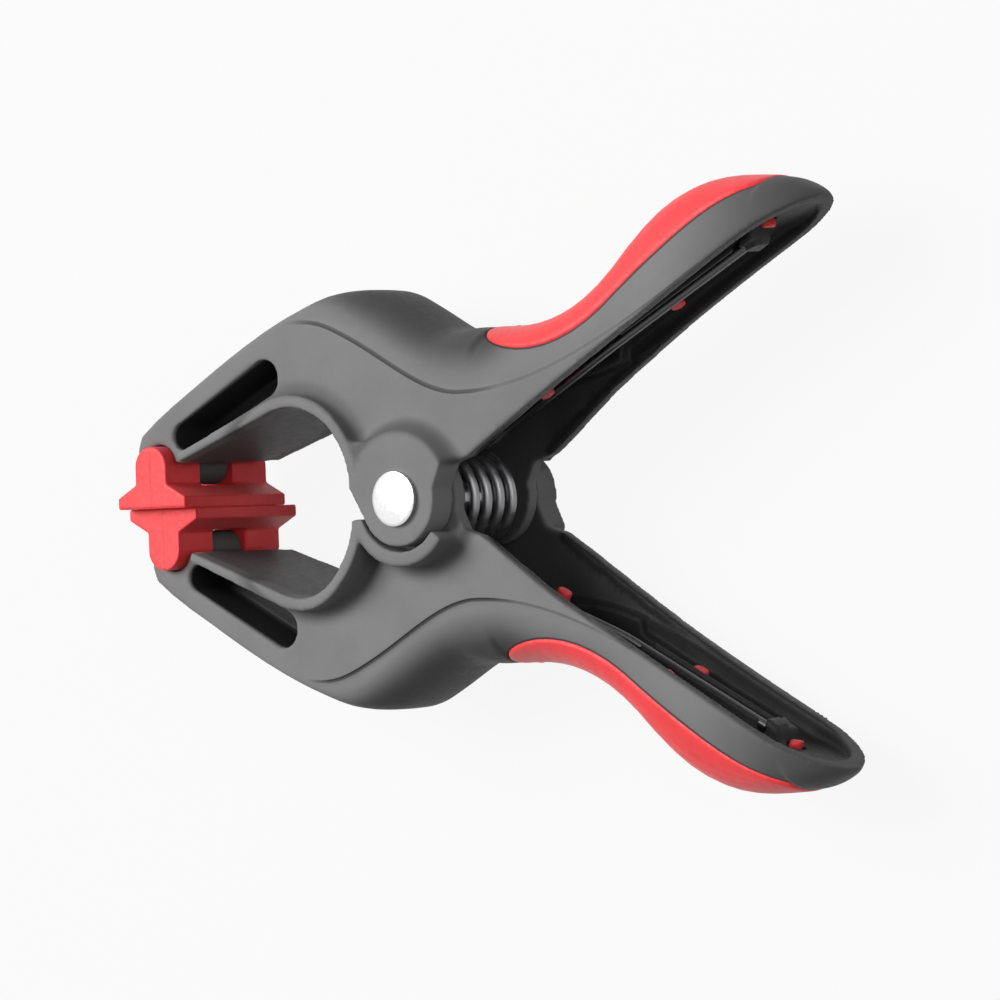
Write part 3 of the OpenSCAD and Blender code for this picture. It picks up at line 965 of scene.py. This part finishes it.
@dataclass
class Arm:
    """One arm of the clamp, re-surfaced and dressed.

    A span says where a change begins and where it is complete. It is in millimetres, or where it
    is named for a facing, a share of how far the skin faces that way.
    """

    side: Side
    shape: ArmShape
    grain_mm: float = 0.42
    smoothing: int = 6
    back_smoothing: int = 24
    foot_smoothing: int = 40
    most_triangles: int = 185000
    back_over_crease: Span = (0.5, 2.5)
    back_facing: Span = (0.0, 0.3)
    foot_places: Span = (-62.0, 17.0)
    foot_edge: Span = (-0.1, 0.1)
    foot_off: Span = (2.0, 3.4)
    foot_low: Span = (-0.35, -0.15)
    foot_under_top: Span = (-0.6, -0.2)
    crease_core: float = 4.0
    crease_below: float = 0.5
    crease_step: Span = (-0.2, 0.3)
    rim_places: tuple[Span, Span] = ((17.0, 19.0), (80.0, 83.0))
    rim_catch: float = 0.7
    rim_facing: Span = (0.5, 0.8)
    end_over_crease: float = 1.0
    end_facing: Span = (0.2, 0.7)
    nose_climb: float = 1.8
    nose_flat: float = 1.5
    root_climb: Span = (-11.0, -3.0)
    root_end: Span = (0.2, 1.6)
    crease_lean: float = 0.9
    crease_side: Span = (-1.6, -1.0)
    foot_shade_side: Span = (-1.2, -0.6)
    foot_shade_edge: Span = (-1.0, 0.4)
    foot_shade_off: Span = (0.6, 3.6)
    dome_over_crease: Span = (0.5, 9.0)
    dome_places: tuple[Span, Span] = ((-30.0, -22.0), (16.0, 26.0))
    nose_places: Span = (56.0, 80.0)
    nose_shade_share: float = 0.85
    hollow_start: float = -8.0
    lip: Span = (0.3, 1.4)
    lip_places: tuple[Span, Span] = ((13.0, 17.0), (70.0, 80.0))
    lip_over_rim: Span = (1.2, 2.4)
    inside_edge: Span = (-0.4, 0.6)
    inside_depth: Span = (0.8, 2.2)
    pocket_edge: Span = (0.5, 1.0)
    pocket_depth: Span = (1.0, 1.6)
    tongue_edge: Span = (0.2, 0.6)
    tongue_under_top: Span = (-0.4, 0.0)
    flat_end: float = 5.0
    throat_gap: Span = (0.5, 1.5)
    throat_side: Span = (-1.3, 0.2)
    throat_shade_share: float = 0.55
    furthest_grip: float = 5.0

    def build(self, finishes: Finishes) -> Piece:
        """Builds the arm.

        Args:
            finishes: The clamp's materials.

        Returns:
            The finished piece.
        """
        piece = copy_of_node(f"{self.side.word}_arm", f"{self.side.word}_arm_moulding")
        skin = skin_of(piece.data)
        grip_skin = skin_of(frame["nodes"][f"{self.side.word}_grip"].data)
        join_into(piece, [self.rib(way * self.shape.rib_across) for way in (-1, 1)])
        resurface(piece, self.grain_mm, self.smoothing)
        for name, rule, passes in (("back", self.on_the_back, self.back_smoothing),
                                   ("foot", self.at_a_foot, self.foot_smoothing)):
            weigh(piece, name, rule)
            smooth(piece, passes, name)
        for rule in (self.press_crease, self.true_rim, self.raise_grip_ends):
            reshape(piece, rule)
        thin(piece, self.most_triangles)
        # Several marks below carry painted shade into the nylon's colour.
        mark(piece, "inside", lambda point: self.inside_gloss_and_shade(point, skin))
        mark(piece, "grip_gap", lambda point: self.grip_gap(point, grip_skin))
        for name, rule in (("crease_gap", self.crease_gap), ("dome_shade", self.dome_shade),
                           ("crease_strength", self.crease_strength), ("foot_shade", self.foot)):
            mark(piece, name, rule)
        dress(piece, finishes.nylon)
        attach(piece, self.side.body)
        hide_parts(f"{self.side.word}_arm")
        return piece

    # -- what is added and which parts are smoothed more

    def rib(self, across: float) -> Piece:
        """Models one of the low ribs that keep the spring's leg in the middle of its channel.

        Args:
            across: Where its middle lies.

        Returns:
            The rib, in its place on the arm.
        """
        shape = self.shape
        run = shape.rib_end - shape.rib_start
        climb = shape.floor(shape.rib_end) - shape.floor(shape.rib_start)
        low = Vector((0, -shape.rib_height, -shape.rib_width / 2))
        high = Vector((math.hypot(run, climb), shape.rib_root, shape.rib_width / 2))
        bar = add_box("rib", MM * low, MM * high, shape.rib_edge)
        root = self.side.place(shape.rib_start, shape.floor(shape.rib_start), across)
        turn = Matrix.Rotation(math.atan2(climb, run), 4, "Z")
        flip = Matrix.Rotation(0.0 if self.side is Side.UPPER else math.pi, 4, "X")
        bar.data.transform(Matrix.Translation(root) @ flip @ turn)
        return bar

    def on_the_back(self, vertex: bpy.types.MeshVertex) -> float:
        """Returns 1 on the rounded back, where the skin faces away from the rim.

        Args:
            vertex: A vertex of the arm.

        Returns:
            The weight from 0 to 1.
        """
        along, up, _ = self.side.unplace(vertex.co)
        over = smoothstep(*self.back_over_crease, up - self.shape.crease(along))
        return over * smoothstep(*self.back_facing, self.side.value * vertex.normal.y)

    def at_a_foot(self, vertex: bpy.types.MeshVertex) -> float:
        """Returns 1 where the throat's raised rim and the boss rise from the arm's side.

        Args:
            vertex: A vertex of the arm.

        Returns:
            The weight from 0 to 1.
        """
        shape = self.shape
        along, up, across = self.side.unplace(vertex.co)
        if not self.foot_places[0] < along < self.foot_places[1]:
            return 0.0
        top = shape.boss_rise if along > shape.boss_start else shape.rim_rise
        off = shape.off_foot(along, up)
        rise = shape.rise(along, across)
        outside = fade(*self.foot_off, off) * smoothstep(*self.foot_edge, off)
        low = smoothstep(*self.foot_low, rise)
        return outside * low * fade(*self.foot_under_top, rise - top)

    # -- how the skin is reshaped

    def press_crease(self, point: Vector, _: Vector) -> Vector | None:
        """Sinks the knuckle a little behind the arm's flat side, so a crease parts them.

        Args:
            point: A point of the piece, in metres.

        Returns:
            Its new place, or None where it stays.
        """
        shape = self.shape
        along, up, across = self.side.unplace(point)
        height = up - shape.crease(along)
        if abs(across) < self.crease_core or height < -self.crease_below:
            return None
        sink = shape.crease_drop * shape.crease_strength(along)
        sink *= smoothstep(*self.crease_step, height) * fade(*shape.crease_reach, height)
        return self.side.place(along, up, across - math.copysign(sink, across))

    def true_rim(self, point: Vector, normal: Vector) -> Vector | None:
        """Sets the handle's rim back on its smooth line, which the new skin follows in steps.

        Args:
            point: A point of the piece, in metres.
            normal: The skin's direction there.

        Returns:
            Its new place, or None where it stays.
        """
        along, up, across = self.side.unplace(point)
        line = self.shape.rim_height(along, across)
        start, end = self.rim_places
        if not start[0] < along < end[1] or abs(up - line) > self.rim_catch:
            return None
        share = smoothstep(*self.rim_facing, -self.side.value * normal.y)
        share *= smoothstep(*start, along) * fade(*end, along)
        return self.side.place(along, up + share * (line - up), across)

    def raise_grip_ends(self, point: Vector, normal: Vector) -> Vector | None:
        """Raises the back past both ends of the grip, which makes the grip lie flush there.

        Args:
            point: A point of the piece, in metres.
            normal: The skin's direction there.

        Returns:
            Its new place, or None where it stays.
        """
        shape = self.shape
        along, up, across = self.side.unplace(point)
        past_start = along - shape.grip_start
        on_handle = self.root_climb[0] < past_start and along < shape.handle_reach
        if not on_handle or up < shape.crease(along) + self.end_over_crease:
            return None
        nose = smoothstep(shape.grip_end - self.nose_climb, shape.grip_end, along)
        nose *= fade(shape.grip_end + self.nose_flat, shape.handle_reach, along)
        root = fade(*self.root_end, past_start) * smoothstep(*self.root_climb, past_start)
        facing = smoothstep(*self.end_facing, self.side.value * normal.y)
        return self.side.place(along, up + shape.grip_edge * facing * (nose + root), across)

    # -- what the finish reads

    def crease_gap(self, point: Vector) -> float:
        """Returns the distance from the crease, above it positive, in millimetres."""
        along, up, _ = self.side.unplace(point)
        return (up - self.shape.crease(along)) * self.crease_lean

    def crease_strength(self, point: Vector) -> float:
        """Returns how much of the crease shows at a point: nothing away from the arm's sides.

        Args:
            point: A point of the piece, in metres.

        Returns:
            The strength from 0 to 1.
        """
        along, _, across = self.side.unplace(point)
        on_side = smoothstep(*self.crease_side, self.shape.rise(along, across))
        return self.shape.crease_strength(along) * on_side

    def dome_shade(self, point: Vector) -> float:
        """Returns the share of painted shade: 1 on top of the knuckle, less at the nose.

        Args:
            point: A point of the piece, in metres.

        Returns:
            The share from 0 to 1.
        """
        along, up, _ = self.side.unplace(point)
        start, end = self.dome_places
        over = smoothstep(*self.dome_over_crease, up - self.shape.crease(along))
        knuckle = over * smoothstep(*start, along) * fade(*end, along)
        return max(knuckle, self.nose_shade_share * smoothstep(*self.nose_places, along))

    def foot(self, point: Vector) -> float:
        """Returns 1 in the hollow at the foot of the throat's raised rim and of the boss, where
        shade is painted.

        Args:
            point: A point of the piece, in metres.

        Returns:
            The share from 0 to 1.
        """
        along, up, across = self.side.unplace(point)
        off = self.shape.off_foot(along, up)
        on_side = smoothstep(*self.foot_shade_side, self.shape.rise(along, across))
        return on_side * smoothstep(*self.foot_shade_edge, off) * fade(*self.foot_shade_off, off)

    def grip_gap(self, point: Vector, grip_skin: BVHTree) -> float:
        """Returns the distance from the grip, in millimetres."""
        return min(self.furthest_grip, grip_skin.find_nearest(point)[3] / MM)

    def inside_gloss_and_shade(self, point: Vector, skin: BVHTree) -> float:
        """Returns 1 for a point on an inside wall, which is glossier and carries painted shade, 0
        for one on the grained outside.

        Args:
            point: A point of the arm.
            skin: The arm's own faces.

        Returns:
            The share from 0 to 1.
        """
        shape = self.shape
        along, up, across = self.side.unplace(point)
        # The deeper the point lies under the skin over it, the more painted shade it gets.
        from_above = self.depth_under(point, skin, self.side.value)
        if along > self.hollow_start:
            start, end = self.lip_places
            lip = smoothstep(*start, along) * fade(*end, along)
            lip *= fade(*self.lip_over_rim, up - shape.rim_height(along, across))
            room = shape.room(along, across) + self.lip[0] + self.lip[1] * lip
            return smoothstep(*self.inside_edge, room) * smoothstep(*self.inside_depth, from_above)
        from_below = self.depth_under(point, skin, -self.side.value)
        # In the jaw's pocket, painted shade where skin lies both over and under the point.
        pocket = smoothstep(*self.pocket_edge, shape.jaw_half - abs(across))
        pocket *= smoothstep(*self.pocket_depth, min(from_above, from_below))
        # The throat's wall and the tongue get a part of the same painted shade.
        return max(pocket, self.throat_shade_share * self.in_the_throat(along, up, across))

    def in_the_throat(self, along: float, up: float, across: float) -> float:
        """Returns 1 on the throat's inner wall and on the tongue, given in the arm's own frame.

        Args:
            along: Distance from the pivot towards the handle.
            up: Height over the pivot, towards the arm's own back.
            across: Distance from the arm's middle plane.

        Returns:
            The share from 0 to 1.
        """
        shape = self.shape
        if along < shape.jaw_corner[0]:
            tongue = fade(*self.tongue_edge, abs(across) - shape.tongue_half)
            return tongue * fade(*self.tongue_under_top, up - shape.tongue_top)
        gap = shape.off_throat(along, up)
        if along < shape.throat[0] - self.flat_end:
            flat = shape.jaw_corner[1] + math.tan(shape.jaw_slope) * (along - shape.jaw_corner[0])
            gap = min(gap, up - flat)
        side = fade(*self.throat_side, shape.rise(along, across))
        return side * fade(*self.throat_gap, gap)

    @staticmethod
    def depth_under(point: Vector, skin: BVHTree, way: float) -> float:
        """Returns how far a point lies behind the skin that is met first.

        Args:
            point: A point of the arm.
            skin: The arm's own faces.
            way: 1 to come from above, -1 from below.

        Returns:
            The depth in millimetres, 0 where no skin is met.
        """
        start = Vector((point.x, PIVOT.y + way * FAR, point.z))
        hit = skin.ray_cast(start, Vector((0, -way, 0)))[0]
        return 0.0 if hit is None else way * (hit.y - point.y) / MM


# ---- grips and pads ----


@dataclass
class Grip:
    """The soft grip over one handle's back, with the plugs that lock it."""

    side: Side
    shape: ArmShape
    bond_depth: float = 1.1
    bond_catch: float = 0.4
    core_drop: float = 3.0
    core_lean: float = 0.3
    grain_mm: float = 0.3
    smoothing: int = 9
    most_triangles: int = 90000

    def build(self, finishes: Finishes) -> Piece:
        """Builds the grip.

        Args:
            finishes: The clamp's materials.

        Returns:
            The finished piece.
        """
        piece = copy_of_node(f"{self.side.word}_grip", f"{self.side.word}_grip_moulding")
        self.bond(piece)
        resurface(piece, self.grain_mm, self.smoothing)
        thin(piece, self.most_triangles)
        dress(piece, finishes.soft_red)
        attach(piece, self.side.body)
        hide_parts(f"{self.side.word}_grip")
        return piece

    def bond(self, piece: Piece) -> None:
        """Sinks the grip's underside towards the handle's core, so its edge is a clean line.

        Args:
            piece: The copy of the grip, before it is re-surfaced.
        """
        skin = skin_of(frame["nodes"][f"{self.side.word}_arm"].data)
        reshape(piece, lambda point, normal: self.sunk(point, normal, skin))

    def sunk(self, point: Vector, normal: Vector, skin: BVHTree) -> Vector | None:
        """Sinks a point of the underside towards the handle's core.

        Args:
            point: A point of the grip, in metres.
            normal: The skin's direction there.
            skin: The arm's faces.

        Returns:
            Its new place, or None away from the arm.
        """
        along, _, across = self.side.unplace(point)
        depth = self.shape.crease(along) - self.core_drop
        away = (point - self.side.place(along, depth, self.core_lean * across)).normalized()
        touches = skin.find_nearest(point)[3] < self.bond_catch * MM
        return point - self.bond_depth * MM * away if touches and normal.dot(away) < 0 else None


@dataclass
class JawPad:
    """One swivelling jaw pad."""

    side: Side
    shape: ArmShape
    sole_gap: float = 0.01
    sole_catch: float = 0.3
    sole_facing: float = 0.75
    cheek_places: Span = (12.8, 13.4)
    parting_half: Span = (0.05, 0.30)
    grain_mm: float = 0.24
    smoothing: int = 4
    most_triangles: int = 90000

    def build(self, finishes: Finishes) -> Piece:
        """Builds the pad.

        Args:
            finishes: The clamp's materials.

        Returns:
            The finished piece.
        """
        piece = copy_of_node(f"{self.side.word}_jaw_pad", f"{self.side.word}_jaw_pad_moulding")
        resurface(piece, self.grain_mm, self.smoothing)
        thin(piece, self.most_triangles)
        reshape(piece, self.level_sole)
        mark(piece, "parting", self.parting)
        dress(piece, finishes.soft_red)
        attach(piece, self.side.pad_body)
        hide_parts(f"{self.side.word}_jaw_pad")
        return piece

    def level_sole(self, point: Vector, normal: Vector) -> Vector | None:
        """Lays the gripping face on the clamp's middle, where the closed pads touch.

        Args:
            point: A point of the piece, in metres.
            normal: The skin's direction there.

        Returns:
            Its new place, or None where it stays.
        """
        along, up, across = self.side.unplace(point)
        faces_middle = self.side.value * normal.y < -self.sole_facing
        on_sole = up < self.sole_catch and faces_middle
        return self.side.place(along, self.sole_gap, across) if on_sole else None

    def parting(self, point: Vector) -> float:
        """Returns 1 on the mould's parting line, down the middle of each outer cheek.

        Args:
            point: A point of the piece, in metres.

        Returns:
            The share from 0 to 1.
        """
        along, _, across = self.side.unplace(point)
        off = abs(along - self.shape.hinge_along)
        return smoothstep(*self.cheek_places, abs(across)) * fade(*self.parting_half, off)


# ---- spring ----


@dataclass
class TorsionSpring:
    """The coil between the ears and its two legs, one unbroken wire. Sizes are in millimetres."""

    shape: ArmShape
    wire_d: float = 1.9
    coil_r: float = 8.15
    coil_pitch: float = 3.55
    coil_turns: int = 4
    leg_gap: float = 0.1
    bend_r: float = 2.5
    twist: tuple[float, float, float] = (0.0, 2.3, -6.9)
    points_per_turn: int = 40
    end_points: int = 8
    bend_points: int = 6
    run_points: int = 10

    def leg_height(self, along: float) -> float:
        """Height of a leg's middle line in its channel."""
        lift = self.leg_gap + self.wire_d / 2
        return self.shape.floor(along) - lift / math.cos(self.shape.handle_angle)

    def coil(self) -> list[Vector]:
        """Draws the coil's middle line, from the upper leg to the lower leg.

        Returns:
            The points, in millimetres from the pivot.
        """
        bend = Vector((self.shape.leg_bend, self.leg_height(self.shape.leg_bend)))
        leave = math.atan2(bend.y, bend.x) + math.acos(self.coil_r / bend.length)
        sweep = math.tau * (self.coil_turns + 1) - 2 * leave
        half = self.coil_pitch * sweep / (2 * math.tau)
        count = math.ceil(sweep / math.tau * self.points_per_turn)
        line = []
        for i in range(count + 1):
            angle = leave + sweep * i / count
            out = Vector((math.cos(angle), math.sin(angle), 0))
            line.append(self.coil_r * out + Vector((0, 0, half * (2 * i / count - 1))))
        return line

    def leg(self, start: Vector, sign: float) -> list[Vector]:
        """Returns a leg's middle line from its end to just before the coil.

        Args:
            start: Where the coil begins.
            sign: 1 for the upper leg, -1 for the lower leg.

        Returns:
            The points: a straight end, a rounded bend and a straight run to the coil.
        """
        shape = self.shape
        end = Vector((shape.leg_reach, sign * self.leg_height(shape.leg_reach), 0))
        bend = Vector((shape.leg_bend, sign * self.leg_height(shape.leg_bend), 0))
        into = bend + (end - bend).normalized() * self.bend_r
        out = bend + (start - bend).normalized() * self.bend_r
        straight = [end.lerp(into, i / self.end_points) for i in range(self.end_points)]
        corner = [into.lerp(bend, t).lerp(bend.lerp(out, t), t)
                  for t in (i / self.bend_points for i in range(self.bend_points + 1))]
        run = [out.lerp(start, i / self.run_points) for i in range(1, self.run_points)]
        return straight + corner + run

    def build(self, finishes: Finishes) -> Piece:
        """Builds the spring.

        Args:
            finishes: The clamp's materials.

        Returns:
            The finished piece.
        """
        coil = self.coil()
        path = self.leg(coil[0], 1.0) + coil + self.leg(coil[-1], -1.0)[::-1]
        points = [PIVOT + MM * point for point in path]
        wire = tube_along("torsion_spring_wire", points, self.wire_d / 2 * MM)
        dress(wire, finishes.spring_steel)
        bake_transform(wire)
        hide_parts("torsion_spring")
        return wire


@dataclass
class Hardware:
    """The steel pins and the cap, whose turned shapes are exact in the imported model."""

    nodes: tuple[str, ...] = ("pivot_pin", "retaining_cap", "lower_pad_pin", "upper_pad_pin")

    def build(self, finishes: Finishes) -> list[Piece]:
        """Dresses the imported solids.

        Args:
            finishes: The clamp's materials.

        Returns:
            The dressed solids.
        """
        dressed = []
        for name in self.nodes:
            node = frame["nodes"][name]
            for slot in node.material_slots:
                slot.material = finishes.pin_steel
            dressed.append(node)
        return dressed


# ---- studio ----


@dataclass
class Camera:
    """The camera, placed round the pivot. Angles are in degrees and distances in millimetres."""

    towards: Vector
    distance: float = 800.0
    right_shift: float = 7.44
    up_shift: float = -0.81
    roll: float = 2.05
    lens: float = 155.5
    sensor: float = 36.0

    def build(self) -> Piece:
        """Sets up the camera.

        Returns:
            The camera.
        """
        back = self.towards.normalized()
        level = Vector((back.z, 0.0, -back.x)).normalized()
        upright = back.cross(level)
        roll = math.radians(self.roll)
        right = math.cos(roll) * level - math.sin(roll) * upright
        up = math.sin(roll) * level + math.cos(roll) * upright
        aside = self.right_shift * level + self.up_shift * upright
        place = Matrix.Translation(PIVOT + MM * (self.distance * back + aside))
        deselect_all()
        bpy.ops.object.camera_add()
        camera = bpy.context.active_object
        camera.name = "camera"
        camera.matrix_world = place @ Matrix((right, up, back)).transposed().to_4x4()
        camera.data.lens = self.lens
        camera.data.sensor_width = self.sensor
        camera.data.clip_start = 0.05
        bpy.context.scene.camera = camera
        return camera


@dataclass
class Softbox:
    """One square area lamp that looks at the pivot. Distances and sizes are in metres."""

    name: str
    direction: Vector
    distance: float
    size: float
    watts: float

    def build(self) -> Piece:
        """Adds the lamp.

        Returns:
            The lamp.
        """
        deselect_all()
        way = self.direction.normalized()
        bpy.ops.object.light_add(type="AREA", location=PIVOT + self.distance * way)
        lamp = bpy.context.active_object
        lamp.name = self.name
        lamp.rotation_euler = way.to_track_quat("Z", "Y").to_euler()
        lamp.data.shape = "SQUARE"
        lamp.data.size = self.size
        lamp.data.energy = self.watts
        return lamp


@dataclass
class Studio:
    """A pale floor, a white surround and soft lamps."""

    floor_tone: float = 0.5
    floor_lift: float = 0.91
    floor_size: float = 6.0
    floor_drop: float = 0.02
    surround_light: float = 0.08

    def build(self) -> None:
        """Builds the floor, the surround, the lamps and the camera."""
        self.floor()
        self.surround()
        Softbox("key_lamp", Vector((-0.45, 0.29, 0.85)), distance=2.2, size=1.4, watts=54.0).build()
        Softbox("fill_lamp", Vector((0.80, 0.15, 0.60)), distance=1.8, size=1.0, watts=7.0).build()
        Camera(Vector((0.640, -0.005, 0.768))).build()
        bpy.context.scene.view_settings.view_transform = "Standard"

    def floor(self) -> Piece:
        """Lays the floor just under the clamp.

        Returns:
            The floor.
        """
        deselect_all()
        place = (0, 0, -self.floor_drop * MM)
        bpy.ops.mesh.primitive_plane_add(size=self.floor_size, location=place)
        floor = bpy.context.active_object
        floor.name = "studio_floor"
        bench = new_material("studio_floor")
        bench.set(Base_Color=(self.floor_tone, self.floor_tone, self.floor_tone, 1.0),
                  Roughness=0.9, Specular_IOR_Level=0.1)
        self.lift(bench)
        floor.data.materials.append(bench.owner)
        return floor

    def lift(self, bench: NodeBench) -> None:
        """Mixes plain white into what shows of the floor, which leaves a faint shadow.

        Args:
            bench: The floor's material.
        """
        blend = bench.add("ShaderNodeMixShader")
        bench.link(bench.math("MULTIPLY", bench.in_view(), self.floor_lift), blend.inputs[0])
        bench.link(bench.shader.outputs[0], blend.inputs[1])
        bench.link(bench.add("ShaderNodeEmission").outputs[0], blend.inputs[2])
        output = bench.owner.node_tree.nodes["Material Output"]
        bench.link(blend.outputs[0], output.inputs["Surface"])
        bench.owner.cycles.emission_sampling = "NONE"

    def surround(self) -> None:
        """Makes the world white where it shows, and a soft light elsewhere."""
        bench = NodeBench.start(bpy.data.worlds.new("surround"))
        bpy.context.scene.world = bench.owner
        background = bench.owner.node_tree.nodes["Background"]
        background.inputs["Color"].default_value = (1, 1, 1, 1)
        strength = bench.remap(bench.in_view(), 0.0, 1.0, self.surround_light, 1.0)
        bench.link(strength, background.inputs["Strength"])


# ---- the whole clamp ----


def main() -> None:
    """Builds the clamp piece by piece and sets up the studio."""
    logging.basicConfig(level=logging.INFO, format="%(name)s: %(message)s")
    finishes = Finishes.mixed()
    shape = ArmShape()
    for side in Side:
        for maker in (Arm(side, shape), Grip(side, shape), JawPad(side, shape)):
            piece = maker.build(finishes)
            LOG.info("%s has %d triangles", piece.name, triangle_count(piece))
    spring = TorsionSpring(shape).build(finishes)
    LOG.info("%s has %d triangles", spring.name, triangle_count(spring))
    for node in Hardware().build(finishes):
        LOG.info("%s is dressed", node.name)
    Studio().build()


if __name__ == "__main__":
    main()
